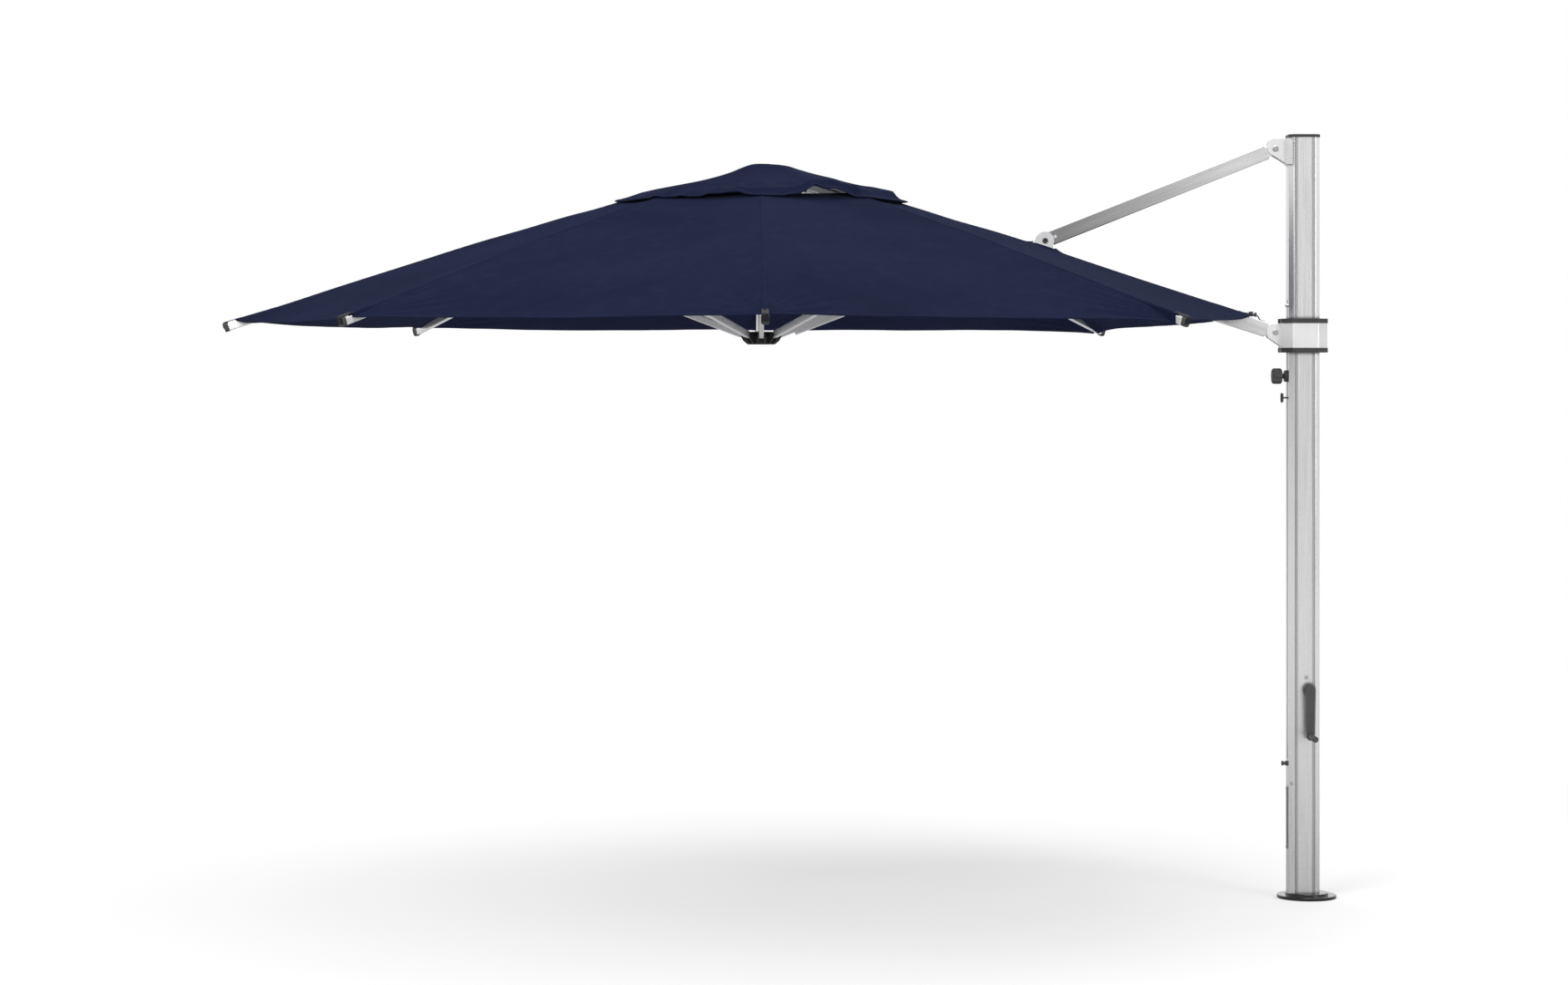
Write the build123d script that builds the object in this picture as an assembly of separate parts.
# Cantilever parasol: a mast on a swivelling ground plate carries an eight-sided canopy on an
# arm and link. Millimetres, Z up, origin on the swivel axis under the ground plate. The canopy
# hangs out towards -X, the crank is on the -Y side, and y = 0 is the centre plane of the linkage.
from build123d import *
import os
from math import cos, hypot, radians, sin

# ---------------------------------------------------------------- driving dimensions
CLEAR = 0.05                            # radial running clearance
GAP = 0.1                               # slack of bushes and plugs inside their tubes

# ground plate and swivel
PLATE_D, PLATE_T = 217.0, 12.0
BOLT_PCD, BOLT_R, BOLT_N = 186.0, 5.5, 4
RING_D, RING_T = 158.0, 8.0             # swivel ring between plate and mast
SPIGOT_R, SPIGOT_WALL, SPIGOT_TOP = 30.0, 5.0, 560.0

# mast extrusion
MAST_X = -14.0                          # mast centre from the swivel axis
MAST_HX, MAST_HY = 57.0, 52.0           # half width and half depth
MAST_C = 17.5                           # corner chamfer
MAST_BORE_C = MAST_C - 2.6              # corner chamfer of the bore
MAST_CORNER_R = 4.0
MAST_WALL = 4.5
GROOVE_IN, GROOVE_OUT, GROOVE_D = 31.0, 37.0, 3.0
FLUTE_W, FLUTE_D = 1.0, 0.8
FLUTE_OFFSETS = (2.2, 4.4)              # flute centres from the groove's inner edge
MAST_Z0, MAST_Z1 = PLATE_T + RING_T, 2807.0
SLOT_W, SLOT_Z0, SLOT_Z1 = 16.0, 514.0, 2208.0
CAP_Z1, CAP_OVER = 2817.5, 1.6
FACE_X = MAST_X - MAST_HX               # canopy-side face of the mast
BRACKET_Z0, BRACKET_Z1 = 2707.0, 2801.0
HATCH_SCREW_Z = (188, 404)
SCREW_R, SCREW_L = 2.5, 9
STOP_Y, STOP_Z = -14, 2187.0            # travel stop screw

# linkage pivots as (x, z); both sides of the upper triangle are equal
TOP_PIVOT = (-118.5, 2764.7)
COLLAR_PIVOT = (-118.5, 2087.2)
LINK_L = 914.0
HALF_RISE = (TOP_PIVOT[1] - COLLAR_PIVOT[1]) / 2
ELBOW = (TOP_PIVOT[0] - (LINK_L ** 2 - HALF_RISE ** 2) ** 0.5, (TOP_PIVOT[1] + COLLAR_PIVOT[1]) / 2)
PIN_R = 7.0
BORE_R = PIN_R + CLEAR
LINK_W, LINK_D, LINK_T = 36.0, 53.5, 2.5
ARM_W, ARM_D, ARM_T = 38.0, 53.5, 3.0
TUBE_CORNER = 4
TUBE_START = 34.0                       # link and arm tubes start this far from the pivot
LINK_END = 26.0                         # link tube stops this far short of the elbow
ARM_END = 120.0                         # arm tube stops this far short of the hub hinge
LINK_BOLT_S, LINK_BOLT_R = 40.5, 4      # cross bolt, from the elbow
CHEEK_IN, CHEEK_OUT = 20.0, 26.0        # clevis plates, from the centre plane

# hub and ribs, as (radius, z) in a radial frame about the hub axis
HUB_X = -2014.0
HINGE = (62.0, 2666.0)
TIP = (1975.0, 2104.0)
RIB_SAG = 15.5                          # upward bow of a rib
RIB_W, RIB_D, RIB_T, RIB_CORNER = 20.0, 26.0, 1.6, 3
JOINT = (830.0, 2371.0)                 # strut pin on each rib
RUNNER_PIN = (HINGE[0], 2 * JOINT[1] - HINGE[1])
STRUT_W, STRUT_D = 18.0, 26.0
MAIN_STRUT_W, MAIN_STRUT_D = 30.0, 44.0
JOINT_PIN_R = 4.0
JOINT_BORE_R = JOINT_PIN_R + CLEAR
HUB_EAR_GAP, HUB_EAR_T = 0.4, 4.0       # ears of crown and runner beside ribs and struts
RIB_AZIMUTHS = [45, 90, 135, 180, 225, 270, 315]
SPOKES = [0] + RIB_AZIMUTHS             # azimuth 0 is the main arm

# collar and its screws
COL_HX, COL_HY, COL_CH = 84.0, 80.0, 37.0
COL_CORNER_R = 7
COL_Z0, COL_Z1 = 2030.0, 2121.0
GLIDE_H = 16.8
KNOB_Z, KNOB_SHANK_R = 1926.0, 6.0
SAFETY_Z, SAFETY_R = 1846.0, 3.0
LOCK_Z, LOCK_R = 496, 5.0               # rotation lock screw

# winch, crank and top pulley; points as (x, z)
CRANK = (1.0, 774.0)
GRIP = (CRANK[0], CRANK[1] - 171.0)
GRIP_AXLE_R = 5.0
BOSS_Y0, BOSS_Y1 = -86.0, -52.2
LEVER_Y, LEVER_T = -98.0, 10
CRANK_SCREW = (CRANK[0] - 9, 817)
PULLEY, PULLEY_AXLE_R = (-16.0, 2745.0), 5
CABLE_R, CABLE_WRAP_R, CABLE_END_Z = 2.0, 30, 2110.5

# fabric profiles at the ribs: radius, height of the upper surface
CANOPY = [
    (470, 2585), (539, 2563), (623, 2538), (707, 2518), (875, 2467), (1044, 2420),
    (1296, 2339.5), (1549, 2260), (1801, 2178.5), (1886, 2152), (1940, 2135.5)]
# the same rings over the main arm, which is straight, deeper and ends at a shorter corner
OVER_ARM = [
    (470, 2577), (539, 2556), (623, 2530), (707, 2503), (875, 2456), (1044, 2402),
    (1229, 2340), (1397, 2284), (1566, 2229), (1734, 2175), (1811, 2150)]
VENT = [
    (58, 2697), (94, 2688), (135, 2681), (219, 2658), (303, 2639), (387, 2622),
    (471, 2604), (530, 2582)]
FABRIC_T = 2.0


# ---------------------------------------------------------------- helpers
def put(name, shape):
    """write the solids of a shape, or of a list of shapes, as one part"""
    solids = []
    for item in (shape if isinstance(shape, (list, tuple)) else [shape]):
        solids += list(item.solids())
    out = solids[0] if len(solids) == 1 else Compound(children=solids)
    export_step(out, f"parts/{name}.step")


def cyl(start, direction, r, length):
    return extrude(Plane(origin=start, z_dir=direction) * Circle(r), length)


def cyl_x(y, z, r, x0, x1):
    return cyl((x0, y, z), (1, 0, 0), r, x1 - x0)


def cyl_y(x, z, r, y0, y1):
    return cyl((x, y0, z), (0, 1, 0), r, y1 - y0)


def cyl_z(x, y, r, z0, z1):
    return cyl((x, y, z0), (0, 0, 1), r, z1 - z0)


def pin_hole(pivot, r):
    """cutter along y, longer than any linkage part is wide"""
    return cyl_y(*pivot, r, -60, 60)


def face_hole(y, z, r):
    """cutter through the canopy-side wall of the mast"""
    return cyl_x(y, z, r, FACE_X - 5, FACE_X + 12)


def side_hole(point, r):
    """cutter through the -Y wall of the mast"""
    return cyl_y(*point, r, -70, -30)


def block(x0, x1, y0, y1, z0, z1):
    centre = Location(((x0 + x1) / 2, (y0 + y1) / 2, (z0 + z1) / 2))
    return centre * Box(x1 - x0, y1 - y0, z1 - z0)


def span(side, near, far, centre=0):
    """(low, high) range between two distances on one side (-1 or 1) of a centre"""
    return sorted((centre + side * near, centre + side * far))


def polygon(points):
    return Face(Wire.make_polygon([Vector(point) for point in points], close=True))


def plate(points, y0, y1):
    """polygon of (x, z) points, thick along y"""
    return Solid.extrude(polygon([(x, y0, z) for x, z in points]), Vector(0, y1 - y0, 0))


def prism(hx, hy, corner, z0, z1):
    """upright octagonal prism about the mast axis"""
    x = MAST_X
    face = polygon([
        (x - hx + corner, -hy, 0), (x + hx - corner, -hy, 0),
        (x + hx, -hy + corner, 0), (x + hx, hy - corner, 0),
        (x + hx - corner, hy, 0), (x - hx + corner, hy, 0),
        (x - hx, hy - corner, 0), (x - hx, -hy + corner, 0)])
    return Solid.extrude(Pos(0, 0, z0) * face, Vector(0, 0, z1 - z0))


def mast_bore(inset, z0, z1, corner=MAST_BORE_C):
    """prism the shape of the mast's bore, smaller by inset on each side"""
    return prism(MAST_HX - MAST_WALL - inset, MAST_HY - MAST_WALL - inset, corner, z0, z1)


def axis(start, end):
    """unit direction and distance between (x, z) points"""
    length = hypot(end[0] - start[0], end[1] - start[1])
    return ((end[0] - start[0]) / length, (end[1] - start[1]) / length), length


def reverse(direction):
    return (-direction[0], -direction[1])


def along(origin, direction, distance, rise=0.0):
    """point at a distance along an axis, and rise to its upper side"""
    nx, nz = -direction[1], direction[0]
    if nz < 0:
        nx, nz = -nx, -nz
    return (origin[0] + direction[0] * distance + nx * rise,
            origin[1] + direction[1] * distance + nz * rise)


def locate(point, origin, direction):
    """distance of a point along an axis, and its distance off the axis"""
    dx, dz = point[0] - origin[0], point[1] - origin[1]
    return (dx * direction[0] + dz * direction[1],
            abs(dz * direction[0] - dx * direction[1]))


def plate_along(origin, direction, centre, outline, y0, y1):
    """plate with its outline as (distance from centre, rise) on an axis"""
    return plate([along(origin, direction, centre + s, rise) for s, rise in outline], y0, y1)


def bar(start, end, width, depth, corner, wall=0):
    """rectangular bar, or tube with a wall, between (x, z) points; width is along y"""
    (dx, dz), length = axis(start, end)
    plane = Plane(origin=(start[0], 0, start[1]), x_dir=(0, 1, 0), z_dir=(dx, 0, dz))
    section = RectangleRounded(width, depth, corner)
    if wall:
        section = section - RectangleRounded(width - 2 * wall, depth - 2 * wall, corner - wall)
    return extrude(plane * section, length)


def plug_size(width, depth, wall):
    """section that slides into a tube"""
    return width - 2 * wall - GAP, depth - 2 * wall - GAP


def end_eye(pivot, direction, shank_end, width, depth, eye_r, bore_r, plug=None, plug_end=0):
    """bored eye with a shank, and a plug beyond it if a plug section is given"""
    eye = cyl_y(*pivot, eye_r, -width / 2, width / 2)
    eye += bar(pivot, along(pivot, direction, shank_end), width, depth, 2)
    if plug:
        eye += bar(along(pivot, direction, shank_end - 1),
                   along(pivot, direction, plug_end), *plug, 1.7)
    return eye - pin_hole(pivot, bore_r)


def clevis_pin(pivot, head_r, head_h, head_chamfer, socket_from=None):
    """pin across the cheeks with a head at each end, with hex sockets if asked for"""
    pin = cyl_y(*pivot, PIN_R, -CHEEK_OUT, CHEEK_OUT)
    for side in (-1, 1):
        head = cyl((pivot[0], side * CHEEK_OUT, pivot[1]), (0, side, 0), head_r, head_h)
        rims = head.edges().filter_by(GeomType.CIRCLE).sort_by(Axis.Y)
        head = chamfer(rims[0 if side < 0 else -1], head_chamfer)
        if socket_from:
            socket = Plane(origin=(pivot[0], side * (CHEEK_OUT + socket_from), pivot[1]),
                           z_dir=(0, side, 0))
            head -= extrude(socket * RegularPolygon(5, 6), 6)
        pin += head
    return pin


def joint_pin(pivot, half_length, head_r, head_h):
    """strut pin with a plain head at each end"""
    pin = cyl_y(*pivot, JOINT_PIN_R, -half_length, half_length)
    for side in (-1, 1):
        pin += cyl_y(*pivot, head_r, *span(side, half_length, half_length + head_h))
    return pin


def strut_ears(origin, direction, pivot, outline, half_width, thickness, boss_r):
    """pair of ears that hold a strut pin below a rib or the arm"""
    centre, _ = locate(pivot, origin, direction)
    ears = []
    for side in (-1, 1):
        y_range = span(side, half_width, half_width + thickness)
        ear = plate_along(origin, direction, centre, outline, *y_range)
        ear += cyl_y(*pivot, boss_r, *y_range)
        ears.append(ear - pin_hole(pivot, JOINT_PIN_R))
    return ears


def screw(seat, direction, head_r, head_h, shank_r=SCREW_R, shank_l=SCREW_L):
    """hex socket screw; its head stands on the seat towards direction"""
    seat, direction = Vector(*seat), Vector(*direction).normalized()
    body = cyl(seat, direction, head_r, head_h)
    rims = body.edges().filter_by(GeomType.CIRCLE)
    outer_rim = rims.sort_by(lambda e: -(e.center() - seat).dot(direction))[0]
    body = chamfer(outer_rim, min(head_h, head_r) * 0.3)
    socket = Plane(origin=seat + direction * (head_h * 0.45), z_dir=direction)
    body -= extrude(socket * RegularPolygon(head_r * 0.5, 6), head_h)
    return body + cyl(seat, -direction, shank_r, shank_l)


# ---------------------------------------------------------------- ground plate and swivel
def base_plate():
    base = cyl_z(0, 0, PLATE_D / 2, 0, PLATE_T)
    base = chamfer(base.edges().group_by(Axis.Z)[-1], 1.5)
    for i in range(BOLT_N):
        a = radians(45 + 360 / BOLT_N * i)
        base -= cyl_z(BOLT_PCD / 2 * cos(a), BOLT_PCD / 2 * sin(a), BOLT_R, -1, PLATE_T + 1)
    return base


def base_spigot():
    spigot = cyl_z(0, 0, SPIGOT_R, PLATE_T, SPIGOT_TOP)
    return spigot - cyl_z(0, 0, SPIGOT_R - SPIGOT_WALL, PLATE_T - 1, SPIGOT_TOP + 1)


def swivel_ring():
    ring = cyl_z(0, 0, RING_D / 2, PLATE_T, PLATE_T + RING_T)
    ring -= cyl_z(0, 0, SPIGOT_R + CLEAR, 0, 40)
    outer_rims = ring.edges().filter_by(lambda e: e.length > RING_D * 3)
    return chamfer(outer_rims.group_by(Axis.Z)[-1], 1.2)


def spigot_bushes():
    return [mast_bore(GAP, z0, z1) - cyl_z(0, 0, SPIGOT_R + CLEAR, z0 - 1, z1 + 1)
            for z0, z1 in ((24, 64), (518, 558))]


# ---------------------------------------------------------------- mast
def mast_tube():
    z_cut = (MAST_Z0 - 1, MAST_Z1 + 1)
    mast = prism(MAST_HX, MAST_HY, MAST_C, MAST_Z0, MAST_Z1)
    mast = fillet(mast.edges().filter_by(Axis.Z), MAST_CORNER_R)
    mast -= mast_bore(0, *z_cut)
    for side_y in (-1, 1):
        for side_x in (-1, 1):
            mast -= block(*span(side_x, GROOVE_IN, GROOVE_OUT, MAST_X),
                          *span(side_y, MAST_HY - GROOVE_D, MAST_HY + 5), *z_cut)
            # shallow flutes beside each groove
            for offset in FLUTE_OFFSETS:
                x = MAST_X + side_x * (GROOVE_IN - offset)
                mast -= block(x - FLUTE_W / 2, x + FLUTE_W / 2,
                              *span(side_y, MAST_HY - FLUTE_D, MAST_HY + 5), *z_cut)
    mast -= block(FACE_X - 5, FACE_X + MAST_WALL + 3, -SLOT_W / 2, SLOT_W / 2, SLOT_Z0, SLOT_Z1)
    mast -= side_hole(CRANK, 16.0)
    mast -= face_hole(0, LOCK_Z, LOCK_R + CLEAR)
    for z in HATCH_SCREW_Z:
        mast -= face_hole(0, z, SCREW_R)
    mast -= side_hole(CRANK_SCREW, SCREW_R)
    mast -= face_hole(STOP_Y, STOP_Z, SCREW_R)
    mast -= block(FACE_X - 5, FACE_X + 12, -11, 11, 200, 392)  # opening behind the hatch
    return mast


def mast_top_cap():
    cap = prism(MAST_HX + CAP_OVER, MAST_HY + CAP_OVER, MAST_C, MAST_Z1, CAP_Z1)
    cap = fillet(cap.edges().filter_by(Axis.Z), MAST_CORNER_R)
    cap = chamfer(cap.edges().group_by(Axis.Z)[-1], 2.0)
    lip = mast_bore(GAP, MAST_Z1 - 12, MAST_Z1)
    lip -= mast_bore(3, MAST_Z1 - 13, MAST_Z1, MAST_C - 4)
    return cap + lip


def top_bracket():
    """back plate, two cheeks, and wings that wrap the mast's chamfered corners"""
    x, z = TOP_PIVOT
    cheek = [
        (FACE_X - 2, BRACKET_Z1), (x - 8, BRACKET_Z1), (x - 22, BRACKET_Z1 - 7),
        (x - 26.5, BRACKET_Z1 - 20), (x - 26.5, z - 6), (x - 21, z - 17),
        (FACE_X - 2, BRACKET_Z0)]
    # wing outline: x from the mast face, distance from the centre plane
    wing = [(-7, 26), (-7, 37.5), (10, 54.5), (14, 50.5), (-0.05, 36.45), (-0.05, 26)]
    bracket = block(FACE_X - 7, FACE_X, -30, 30, BRACKET_Z0, BRACKET_Z1)
    for side in (-1, 1):
        bracket += plate(cheek, *span(side, CHEEK_IN, CHEEK_OUT))
        face = polygon([(FACE_X + dx, side * y, BRACKET_Z0) for dx, y in wing])
        bracket += Solid.extrude(face, Vector(0, 0, BRACKET_Z1 - BRACKET_Z0))
    bracket -= pin_hole(TOP_PIVOT, PIN_R)
    bracket -= prism(MAST_HX, MAST_HY, MAST_C, BRACKET_Z0 - 1, BRACKET_Z1 + 1)
    return bracket


def winch_housing():
    """frame inside the mast and the outer crank boss, in one piece"""
    x0, x1, z0, z1 = -30, 22, 734, 814
    y0, y1 = -47.2, 42
    housing = block(x0, x1, y0, -42, z0, z1) + block(x0, x1, 36, y1, z0, z1)
    housing += block(x0, x1, y0, y1, z0 - 4, z0 + 1)
    housing += cyl_y(*CRANK, 15.9, BOSS_Y1, -42)
    boss = cyl_y(*CRANK, 20, BOSS_Y0, BOSS_Y1)
    housing += chamfer(boss.edges().filter_by(GeomType.CIRCLE).sort_by(Axis.Y)[0], 2)
    return housing - cyl_y(*CRANK, BORE_R, -100, 60)


def hatch_cover():
    cover = block(FACE_X - 3, FACE_X - 0.05, -15, 15, 181, 411)
    cover = fillet(cover.edges().filter_by(Axis.X), 6)
    cover = chamfer(cover.edges().group_by(Axis.X)[0], 1.2)
    for z in HATCH_SCREW_Z:
        cover -= face_hole(0, z, SCREW_R)
    return cover


def mast_fasteners():
    """screws on the mast, pulley axle and top pivot pin"""
    corner_x = FACE_X + MAST_C / 2       # middle of the -X -Y chamfered corner
    corner_y = -(MAST_HY - MAST_C / 2)
    lift = 0.02                          # holds the corner screw's head off the surface
    axle_half = MAST_HY - MAST_WALL - GAP
    fasteners = [screw((FACE_X - 3, 0, z), (-1, 0, 0), 5, 3) for z in HATCH_SCREW_Z]
    return fasteners + [
        screw((CRANK_SCREW[0], -MAST_HY, CRANK_SCREW[1]), (0, -1, 0), 5, 3.2),
        screw((corner_x - lift, corner_y - lift, 426), (-1, -1, 0), 4.5, 3, 1.0, lift),
        screw((FACE_X, STOP_Y, STOP_Z), (-1, 0, 0), 5.5, 10),
        cyl_y(*PULLEY, PULLEY_AXLE_R, -axle_half, axle_half),
        clevis_pin(TOP_PIVOT, head_r=11, head_h=5, head_chamfer=1.5)]


def lift_cable():
    """from the drum over the top pulley and down to the carriage"""
    x, z = PULLEY
    start = (x + CABLE_WRAP_R, 0, CRANK[1])
    wrap_start, wrap_end = (x + CABLE_WRAP_R, 0, z), (x - CABLE_WRAP_R, 0, z)
    path = Wire([
        Edge.make_line(start, wrap_start),
        Edge.make_three_point_arc(wrap_start, (x, 0, z + CABLE_WRAP_R), wrap_end),
        Edge.make_line(wrap_end, (x - CABLE_WRAP_R, 0, CABLE_END_Z))])
    return sweep(Plane(origin=start, z_dir=(0, 0, 1)) * Circle(CABLE_R), path=path)


def top_pulley():
    pulley = cyl_y(*PULLEY, 35, -6, 6)
    pulley -= cyl_y(*PULLEY, 40, -3, 3) - cyl_y(*PULLEY, 27.8, -3, 3)
    pulley -= cyl_y(*PULLEY, PULLEY_AXLE_R + CLEAR, -10, 10)
    for i in range(5):
        a = radians(72 * i)
        pulley -= cyl_y(PULLEY[0] + 17 * cos(a), PULLEY[1] + 17 * sin(a), 6, -10, 10)
    return pulley


def rotation_lock_knob():
    """spool-shaped hand screw that reaches the spigot"""
    knob = (cyl_x(0, LOCK_Z, 9, FACE_X - 22, FACE_X - 15)
            + cyl_x(0, LOCK_Z, 5.5, FACE_X - 16, FACE_X - 8)
            + cyl_x(0, LOCK_Z, 9, FACE_X - 8.5, FACE_X - 0.3))
    knob = chamfer(knob.edges().filter_by(GeomType.CIRCLE).sort_by(Axis.X)[0], 1)
    return knob + cyl_x(0, LOCK_Z, LOCK_R, FACE_X - 6, -SPIGOT_R - 0.5)


# ---------------------------------------------------------------- winch and crank
def crank_shaft():
    return cyl_y(*CRANK, PIN_R, LEVER_Y - 1.5, 44)


def winch_drum():
    drum = cyl_y(*CRANK, 11, -20, 20) + cyl_y(*CRANK, 26, -24, -20) + cyl_y(*CRANK, 26, 20, 24)
    return drum - pin_hole(CRANK, PIN_R)


def crank_arm():
    """tapered lever and the grip's axle"""
    shaft_end_r, grip_end_r = 18, 15
    y_range = (LEVER_Y, LEVER_Y + LEVER_T)
    lever = cyl_y(*CRANK, shaft_end_r, *y_range) + cyl_y(*GRIP, grip_end_r, *y_range)
    lever += plate([
        (CRANK[0] - shaft_end_r, CRANK[1]), (CRANK[0] + shaft_end_r, CRANK[1]),
        (GRIP[0] + grip_end_r, GRIP[1]), (GRIP[0] - grip_end_r, GRIP[1])], *y_range)
    lever = chamfer(lever.edges().group_by(Axis.Y)[0], 1.6)
    for point, r in ((CRANK, PIN_R), (GRIP, GRIP_AXLE_R)):
        lever -= cyl_y(*point, r, LEVER_Y - 5, LEVER_Y + 20)
    axle = cyl_y(*GRIP, GRIP_AXLE_R, LEVER_Y - 104, LEVER_Y + LEVER_T)
    axle += cyl_y(*GRIP, 9.5, LEVER_Y - 10, LEVER_Y)
    return [lever, axle]


def crank_grip():
    grip = cyl_y(*GRIP, 11, LEVER_Y - 108, LEVER_Y - 10.4)
    grip = fillet(grip.edges().filter_by(GeomType.CIRCLE), 3)
    return grip - cyl_y(*GRIP, GRIP_AXLE_R + CLEAR, LEVER_Y - 104.5, LEVER_Y)


# ---------------------------------------------------------------- upper link
LINK_DIR, _ = axis(TOP_PIVOT, ELBOW)
LINK_BOLT = along(ELBOW, reverse(LINK_DIR), LINK_BOLT_S)


def upper_link_tube():
    link = bar(along(TOP_PIVOT, LINK_DIR, TUBE_START), along(TOP_PIVOT, LINK_DIR, LINK_L - LINK_END),
               LINK_W, LINK_D, TUBE_CORNER, LINK_T)
    return link - pin_hole(LINK_BOLT, LINK_BOLT_R)


def link_end_fittings():
    """eye at each end of the link, and the cross bolt near the elbow"""
    plug = plug_size(LINK_W, LINK_D, LINK_T)
    top = end_eye(TOP_PIVOT, LINK_DIR, TUBE_START, LINK_W + 2, 40, 20, BORE_R, plug, 80)
    elbow = end_eye(ELBOW, reverse(LINK_DIR), LINK_END, LINK_W + 2, 44, 24, BORE_R, plug, 80)
    elbow -= pin_hole(LINK_BOLT, LINK_BOLT_R)
    bolt_end = LINK_W / 2 + 3.5
    bolt = cyl_y(*LINK_BOLT, LINK_BOLT_R, -bolt_end, bolt_end)
    for side in (-1, 1):
        bolt += cyl_y(*LINK_BOLT, 6, *span(side, LINK_W / 2 + 0.02, bolt_end))
    return [top, elbow, bolt]


# ---------------------------------------------------------------- main arm
ARM_HINGE = (HUB_X + HINGE[0], HINGE[1])
ARM_JOINT = (HUB_X + JOINT[0], JOINT[1])
ARM_DIR, ARM_L = axis(COLLAR_PIVOT, ARM_HINGE)


def main_arm_tube():
    return bar(along(COLLAR_PIVOT, ARM_DIR, TUBE_START),
               along(COLLAR_PIVOT, ARM_DIR, ARM_L - ARM_END), ARM_W, ARM_D, TUBE_CORNER, ARM_T)


def arm_clevis():
    """saddle on the arm with a cheek each side that holds the elbow"""
    station, rise = locate(ELBOW, COLLAR_PIVOT, ARM_DIR)
    top, low = ARM_D / 2, -ARM_D / 2 + 12
    saddle = [(-62, top), (62, top), (62, top + 5), (-62, top + 5)]
    cheek = [(-44, low), (44, low), (40, top + 6), (29, rise + 10), (-29, rise + 10), (-40, top + 6)]
    spacer = [(-44, low), (44, low), (44, top + 5), (-44, top + 5)]

    def on_arm(outline, y0, y1):
        return plate_along(COLLAR_PIVOT, ARM_DIR, station, outline, y0, y1)

    clevis = on_arm(saddle, -ARM_W / 2, ARM_W / 2)
    for side in (-1, 1):
        y_range = span(side, CHEEK_IN, CHEEK_OUT)
        flank = on_arm(cheek, *y_range) + cyl_y(*ELBOW, 33, *y_range)
        flank += on_arm(spacer, *span(side, ARM_W / 2, CHEEK_IN))
        clevis += flank
    return clevis - pin_hole(ELBOW, PIN_R)


def elbow_pin():
    return clevis_pin(ELBOW, head_r=10, head_h=5, head_chamfer=1.5, socket_from=2.2)


def arm_end_fittings():
    """collar eye, hub hinge eye, and the ears and pin of the main strut"""
    plug = plug_size(ARM_W, ARM_D, ARM_T)
    collar_eye = end_eye(COLLAR_PIVOT, ARM_DIR, TUBE_START, ARM_W, 40, 20, BORE_R, plug, 90)
    inward = reverse(ARM_DIR)
    hub_eye = end_eye(ARM_HINGE, inward, 46, ARM_W, 28, 15, JOINT_BORE_R)
    hub_eye += (
        bar(along(ARM_HINGE, inward, 44), along(ARM_HINGE, inward, ARM_END), ARM_W, 34, 3)
        + bar(along(ARM_HINGE, inward, ARM_END - 1), along(ARM_HINGE, inward, 170), *plug, 1.7))
    outline = [(-30, 8), (30, 8), (30, -24), (13, -52), (-13, -52), (-30, -24)]
    ears = strut_ears(COLLAR_PIVOT, ARM_DIR, ARM_JOINT, outline, ARM_W / 2, 4, boss_r=14)
    pin = joint_pin(ARM_JOINT, ARM_W / 2 + 4, head_r=7, head_h=3)
    return [collar_eye, hub_eye] + ears + [pin]


# ---------------------------------------------------------------- collar
def collar_body():
    face_x = MAST_X - COL_HX
    x = COLLAR_PIVOT[0]
    cheek = [
        (face_x + 4, 2117), (x - 6, 2117), (x - 22, 2112), (x - 31, 2098),
        (x - 32, 2080), (x - 26, 2068), (face_x + 4, 2034)]
    collar = prism(COL_HX, COL_HY, COL_CH, COL_Z0, COL_Z1)
    collar = fillet(collar.edges().filter_by(Axis.Z), COL_CORNER_R)
    collar -= prism(COL_HX - 5, COL_HY - 5, COL_CH - 3, COL_Z0 + 5, COL_Z1 - 5)
    collar -= prism(MAST_HX + 2, MAST_HY + 2, MAST_C + 0.8, COL_Z0 - 1, COL_Z1 + 1)
    for side in (-1, 1):
        collar += plate(cheek, *span(side, CHEEK_IN, CHEEK_OUT))
    collar -= pin_hole(COLLAR_PIVOT, PIN_R)
    # web from the collar wall to the mast face
    collar += block(face_x + 3, FACE_X - 0.3, -7, 7, 2042, 2108)
    return collar


def glide_rings():
    """rings under and over the collar"""
    rings = []
    for z0, z1 in ((COL_Z0 - GLIDE_H, COL_Z0), (COL_Z1, COL_Z1 + GLIDE_H)):
        ring = prism(COL_HX + 2, COL_HY + 2, COL_CH, z0, z1)
        ring = fillet(ring.edges().filter_by(Axis.Z), COL_CORNER_R)
        ring -= prism(MAST_HX + 0.4, MAST_HY + 0.4, MAST_C + 0.15, z0 - 1, z1 + 1)
        if z0 > COL_Z0:                 # recess that the arm enters when folded
            ring -= block(FACE_X - 40, FACE_X - 18.5, -CHEEK_IN - 1, CHEEK_IN + 1, z0 - 1, z1 + 1)
        rings.append(ring)
    return rings


def collar_carriage():
    """slide inside the mast, its key in the slot and the tab under the cable"""
    inner_x = FACE_X + MAST_WALL
    key_half = SLOT_W / 2 - 0.4
    carriage = block(inner_x + 0.4, inner_x + 16, -22, 22, 1815, 2120)
    carriage += block(FACE_X - 0.3, inner_x + 1, -key_half, key_half, 1820, 2118)
    carriage += block(inner_x + 15, PULLEY[0] - 22, -9, 9, 2080, 2110)
    for z, r in ((KNOB_Z, KNOB_SHANK_R), (SAFETY_Z, SAFETY_R)):
        carriage -= cyl_x(0, z, r + CLEAR, FACE_X - 10, -30)
    return carriage


def collar_pivot_pin():
    return clevis_pin(COLLAR_PIVOT, head_r=10, head_h=4, head_chamfer=1.2, socket_from=1.8)


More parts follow.
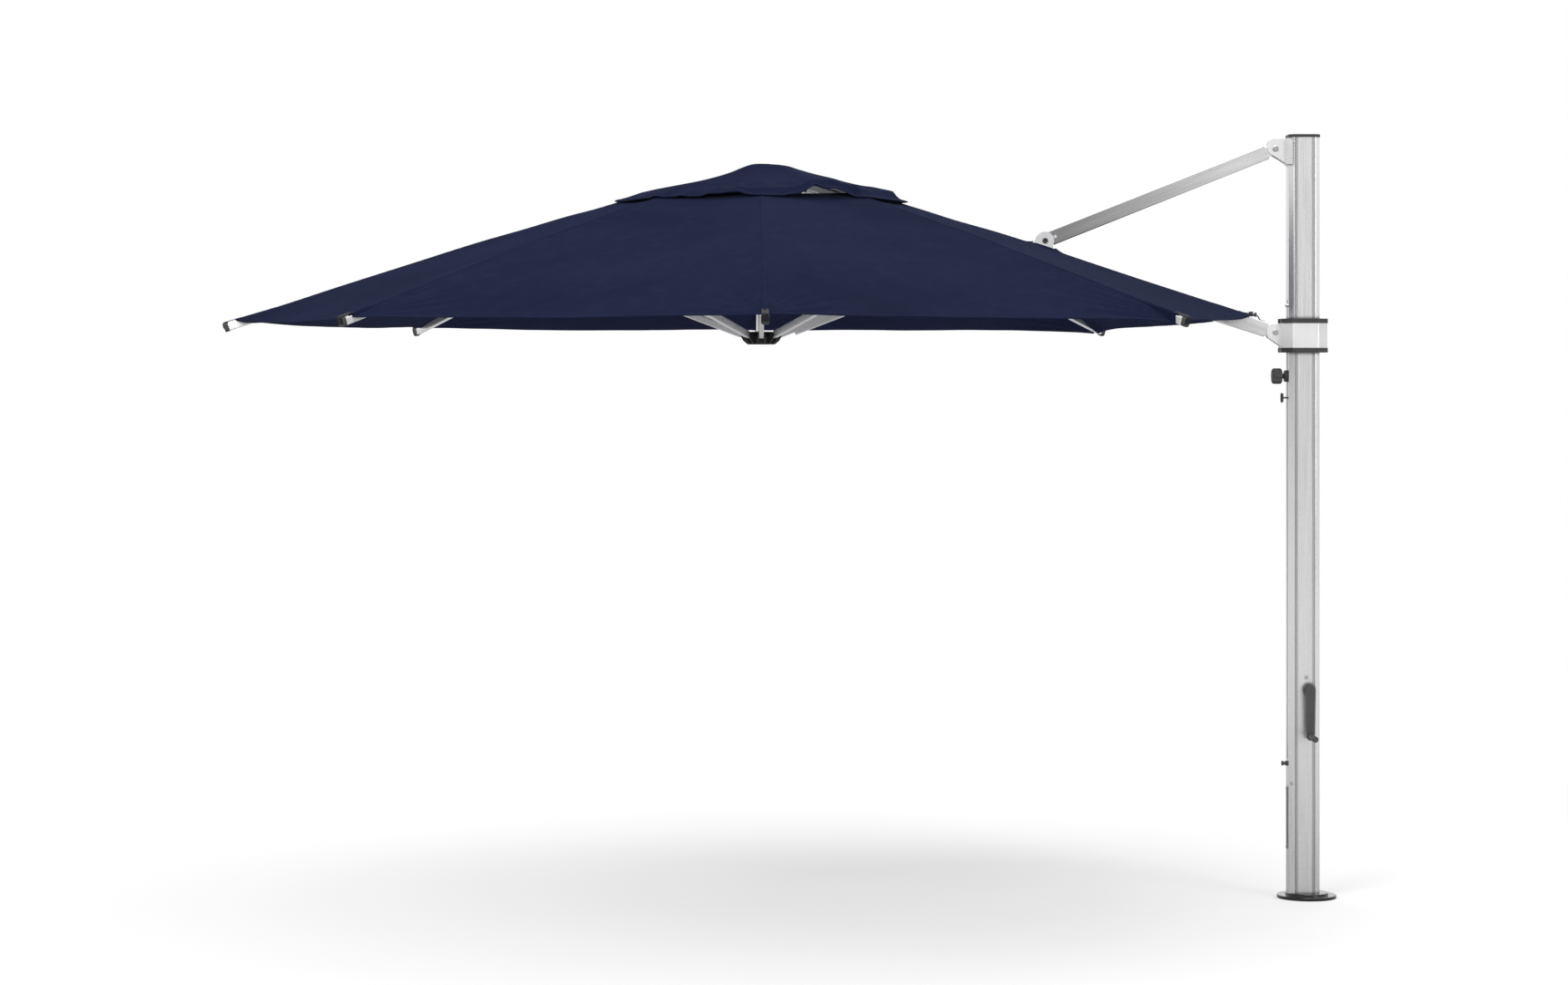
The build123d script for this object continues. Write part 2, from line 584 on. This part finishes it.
def knob_boss():
    boss = cyl_x(0, KNOB_Z, 21.5, FACE_X - 12.3, FACE_X - 0.3)
    boss = fillet(boss.edges().filter_by(GeomType.CIRCLE).sort_by(Axis.X)[0], 3)
    return boss - cyl_x(0, KNOB_Z, KNOB_SHANK_R + CLEAR, FACE_X - 20, FACE_X + 5)


def lock_knob():
    """eight-lobed knob turning about X"""
    x = FACE_X - 12.6
    stem = cyl_x(0, KNOB_Z, 9.5, x - 8, x) + cyl_x(0, KNOB_Z, KNOB_SHANK_R, x - 4, FACE_X + 14)
    head = cyl_x(0, KNOB_Z, 29, x - 45, x - 8)
    head = fillet(head.edges().filter_by(GeomType.CIRCLE), 8)
    for i in range(8):
        a = radians(22.5 + 45 * i)
        head -= cyl_x(33 * cos(a), KNOB_Z + 33 * sin(a), 8, x - 60, x)
    return stem + head


def safety_pin():
    """pin with an oval pull"""
    pin = cyl_x(0, SAFETY_Z, SAFETY_R, FACE_X - 20, FACE_X + 16)
    plane = Plane(origin=(FACE_X - 15, 0, SAFETY_Z), x_dir=(0, 0, 1), z_dir=(1, 0, 0))
    pull = extrude(plane * Ellipse(17.5, 9), -10)
    return pin + fillet(pull.edges(), 3)


# ---------------------------------------------------------------- hub, in the radial frame
def on_hub(azimuth, shape):
    return Location((HUB_X, 0, 0), (0, 0, azimuth)) * shape


def crown_ear_y(azimuth):
    """inner and outer faces of the crown ears, from the spoke's centre plane"""
    inner = (ARM_W if azimuth == 0 else RIB_W) / 2 + HUB_EAR_GAP
    return inner, inner + HUB_EAR_T


RUNNER_EAR_Y = (STRUT_W / 2 + HUB_EAR_GAP, STRUT_W / 2 + HUB_EAR_GAP + HUB_EAR_T)


def hub_pin(azimuth, point, half_length):
    return on_hub(azimuth, cyl_y(*point, JOINT_PIN_R, -half_length, half_length))


def crown_pins():
    return [hub_pin(azimuth, HINGE, crown_ear_y(azimuth)[1]) for azimuth in SPOKES]


def crown_hub():
    z = HINGE[1]
    ear = [(34, z - 16), (62, z - 16), (74, z - 6), (76, z + 4), (70, z + 16), (34, z + 18)]
    crown = cyl_z(0, 0, 44, z - 26, z + 20)
    crown = chamfer(crown.edges().filter_by(GeomType.CIRCLE), 3)
    crown -= cyl_z(0, 0, 24, z - 30, z + 8)
    crown = on_hub(0, crown)
    for azimuth, pin in zip(SPOKES, crown_pins()):
        for side in (-1, 1):
            crown += on_hub(azimuth, plate(ear, *span(side, *crown_ear_y(azimuth))))
        crown -= pin
    return crown


def crown_cap():
    cap = cyl_z(0, 0, 50, 2689, 2700)
    cap = fillet(cap.edges().filter_by(GeomType.CIRCLE).group_by(Axis.Z)[-1], 5)
    cap += cyl_z(0, 0, 12, HINGE[1] + 20, 2689)
    return on_hub(0, cap)


def runner_pins():
    return [hub_pin(azimuth, RUNNER_PIN, RUNNER_EAR_Y[1]) for azimuth in SPOKES]


def runner():
    z = RUNNER_PIN[1]
    inner = RUNNER_EAR_Y[0]
    ear = [
        (36, z - 33), (50, z - 33), (66, z - 20), (74, z - 6), (74, z + 6), (66, z + 13),
        (36, z + 13)]
    body = cyl_z(0, 0, 46, z - 33, z - 4)
    body = chamfer(body.edges().filter_by(GeomType.CIRCLE).group_by(Axis.Z)[0], 6)
    body += cyl_z(0, 0, 40, z - 4, z + 14)
    body -= cyl_z(0, 0, 20, z - 40, z + 2)
    body = on_hub(0, body)
    for azimuth, pin in zip(SPOKES, runner_pins()):
        for side in (-1, 1):
            body += on_hub(azimuth, plate(ear, *span(side, *RUNNER_EAR_Y)))
        body -= on_hub(azimuth, block(47, 80, -inner, inner, z - 15, z + 40))
        body -= pin
    return body


# ---------------------------------------------------------------- ribs
RIB_DIR, RIB_L = axis(HINGE, TIP)


def bowed(s_from, s_to, width, depth, corner):
    """bar on the rib's bowed axis, between two distances along its chord"""
    arc_r = (RIB_L ** 2 / 4 + RIB_SAG ** 2) / (2 * RIB_SAG)
    centre = along(HINGE, RIB_DIR, RIB_L / 2, RIB_SAG - arc_r)

    def on_arc(s):
        x = s - RIB_L / 2
        return along(HINGE, RIB_DIR, s, (arc_r ** 2 - x * x) ** 0.5 - (arc_r - RIB_SAG))

    start, middle, end = [(x, 0, z) for x, z in map(on_arc, (s_from, (s_from + s_to) / 2, s_to))]
    path = Wire([Edge.make_three_point_arc(start, middle, end)])
    tangent = (start[2] - centre[1], 0, centre[0] - start[0])
    plane = Plane(origin=start, x_dir=(0, 1, 0), z_dir=tangent)
    return sweep(plane * RectangleRounded(width, depth, corner), path=path)


def rib():
    return (bowed(24, RIB_L, RIB_W, RIB_D, RIB_CORNER)
            - bowed(20, RIB_L + 4, RIB_W - 2 * RIB_T, RIB_D - 2 * RIB_T, RIB_CORNER - RIB_T))


def rib_fittings():
    """hinge plug, strut ears, strut pin and the cup that closes the tip"""
    plug = end_eye(HINGE, RIB_DIR, 23.0, RIB_W, 25, 12.5, JOINT_BORE_R)
    plug += bowed(22, 62, *plug_size(RIB_W, RIB_D, RIB_T), 1.5)
    _, drop = locate(JOINT, HINGE, RIB_DIR)
    outline = [(-34, 8), (34, 8), (34, -13), (11.5, -drop), (-11.5, -drop), (-34, -13)]
    ears = strut_ears(HINGE, RIB_DIR, JOINT, outline, RIB_W / 2, 3, boss_r=12)
    pin = joint_pin(JOINT, RIB_W / 2 + 3, head_r=6.5, head_h=2.5)
    tip_cup = bar(along(HINGE, RIB_DIR, RIB_L - 10, 2.9), along(HINGE, RIB_DIR, RIB_L + 6, 2.6),
                  27, 34.5, 8.5)
    tip_cup -= bowed(RIB_L - 40, RIB_L, RIB_W, RIB_D, RIB_CORNER)
    return [plug] + ears + [pin, tip_cup]


# ---------------------------------------------------------------- struts
STRUT_DIR, STRUT_L = axis(JOINT, RUNNER_PIN)


def strut_bar(s_from, s_to, width, depth, corner):
    """bar between two distances from the rib joint"""
    return bar(along(JOINT, STRUT_DIR, s_from), along(JOINT, STRUT_DIR, s_to),
               width, depth, corner)


def strut_end(pivot, direction, eye_r, eye_w, neck_w, neck_d, neck_end):
    eye = cyl_y(*pivot, eye_r, -eye_w / 2, eye_w / 2)
    return eye + bar(pivot, along(pivot, direction, neck_end), neck_w, neck_d, 2)


def bored(strut):
    for pivot in (JOINT, RUNNER_PIN):
        strut -= pin_hole(pivot, JOINT_BORE_R)
    return strut


def rib_strut():
    body = strut_bar(16, STRUT_L - 16, STRUT_W, STRUT_D, 3)
    body -= strut_bar(40, STRUT_L - 40, STRUT_W - 3.6, STRUT_D - 3.6, 1.5)
    for pivot, direction in ((JOINT, STRUT_DIR), (RUNNER_PIN, reverse(STRUT_DIR))):
        body += strut_end(pivot, direction, 11.5, STRUT_W, STRUT_W, 23, 17)
    return bored(body)


def strut_main():
    body = strut_bar(30, STRUT_L - 62, MAIN_STRUT_W, MAIN_STRUT_D, 4)
    body -= strut_bar(60, STRUT_L - 90, MAIN_STRUT_W - 5, MAIN_STRUT_D - 5, 2)
    body += strut_end(JOINT, STRUT_DIR, 13, ARM_W - 1, MAIN_STRUT_W, 26, 31)
    body += strut_end(RUNNER_PIN, reverse(STRUT_DIR), 11.5, STRUT_W, STRUT_W, 23, 66)
    return on_hub(0, bored(body))


# ---------------------------------------------------------------- fabric, closed thin solids
def sheet(profile, over_arm):
    """octagonal sheet through (r, z) rings, its corners on the ribs and the arm"""
    upper = []
    for k in range(len(profile)):
        row = []
        for i in range(8):
            r, z = over_arm[k] if i == 0 else profile[k]
            a = radians(45 * i)
            row.append(Vector(HUB_X + r * cos(a), r * sin(a), z))
        upper.append(row)
    lower = [[v - Vector(0, 0, FABRIC_T) for v in row] for row in upper]
    triangles = []
    for k in range(len(profile) - 1):
        for i in range(8):
            j = (i + 1) % 8
            for rows in (upper, lower):
                a, b, c, d = rows[k][i], rows[k][j], rows[k + 1][j], rows[k + 1][i]
                if i == 7:              # mirrors the split of the panel across y = 0
                    triangles += [(a, b, d), (b, c, d)]
                else:
                    triangles += [(a, b, c), (a, c, d)]
    for k in (0, -1):                   # inner and outer hems
        for i in range(8):
            j = (i + 1) % 8
            triangles += [(upper[k][i], upper[k][j], lower[k][j]),
                          (upper[k][i], lower[k][j], lower[k][i])]
    return Solid(Shell([polygon(triangle) for triangle in triangles]))


def canopy_fabric():
    """canopy with an opening around the elbow"""
    x, z = ELBOW
    return sheet(CANOPY, OVER_ARM) - block(x - 47, x + 47, -30, 30, z - 120, z + 60)


def vent_fabric():
    return sheet(VENT, VENT)


# ---------------------------------------------------------------- write the parts
os.makedirs("parts", exist_ok=True)

# each function is named after its part
for part in (
        base_plate, base_spigot, swivel_ring, spigot_bushes,
        mast_tube, mast_top_cap, top_bracket, winch_housing, hatch_cover, mast_fasteners,
        lift_cable, top_pulley, rotation_lock_knob,
        crank_shaft, winch_drum, crank_arm, crank_grip,
        upper_link_tube, link_end_fittings,
        main_arm_tube, arm_clevis, elbow_pin, arm_end_fittings,
        collar_body, glide_rings, collar_carriage, collar_pivot_pin, knob_boss, lock_knob,
        safety_pin, crown_hub, crown_pins, crown_cap, runner, runner_pins, strut_main,
        canopy_fabric, vent_fabric):
    put(part.__name__, part())

rib_shape, fitting_shapes, strut_shape = rib(), rib_fittings(), rib_strut()
for number, azimuth in enumerate(RIB_AZIMUTHS, 1):
    put(f"rib_{number}", on_hub(azimuth, rib_shape))
    put(f"rib_fittings_{number}", [on_hub(azimuth, shape) for shape in fitting_shapes])
    put(f"strut_{number}", on_hub(azimuth, strut_shape))
